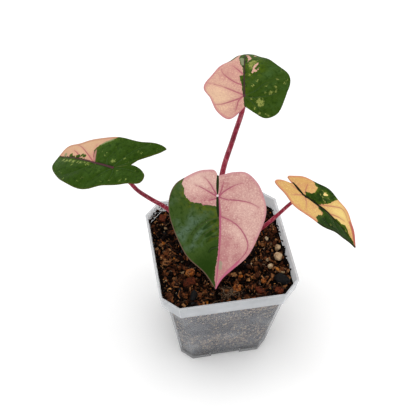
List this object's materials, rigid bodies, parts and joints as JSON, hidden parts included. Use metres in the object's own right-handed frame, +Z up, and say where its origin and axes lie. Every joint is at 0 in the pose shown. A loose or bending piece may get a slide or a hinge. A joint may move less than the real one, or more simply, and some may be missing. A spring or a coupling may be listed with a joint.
{
  "type": "potted houseplant",
  "caption": "Square clear nursery pot filled with chunky potting mix, holding a young aroid with slender crimson stalks and broad heart- to arrow-shaped variegated leaf blades.",
  "frame": {"origin": "centre of the pot's base, on the surface that it stands on", "axes": "+Z up; +X right and -Y towards the viewer, with the largest leaf at the front"},
  "size_m": [0.1826, 0.1172, 0.1945],
  "materials": {
    "pot": "satin",
    "mix": "matte",
    "corm": "matte",
    "stalk": "satin",
    "blade_front": "satin",
    "blade_top": "satin",
    "blade_left": "satin",
    "blade_right": "satin",
    "charcoal": "satin",
    "pumice": "matte",
    "clay": "matte",
    "bark": "matte"
  },
  "bodies": {
    "root": {"pot": "pot", "potting_mix": "mix", "corm_with_roots": "corm", "petiole_front": "stalk", "blade_front": "blade_front", "petiole_top": "stalk", "blade_top": "blade_top", "petiole_left": "stalk", "blade_left": "blade_left", "petiole_right": "stalk", "blade_right": "blade_right", "charcoal_large": "charcoal", "charcoal_small": "charcoal", "pumice_large": "pumice", "pumice_back": "pumice", "pumice_front": "pumice", "clay_front": "clay", "clay_pellet": "clay", "clay_left": "clay", "bark_left": "bark", "bark_front": "bark", "bark_corner": "bark", "bark_back": "bark"}
  },
  "joints": []
}
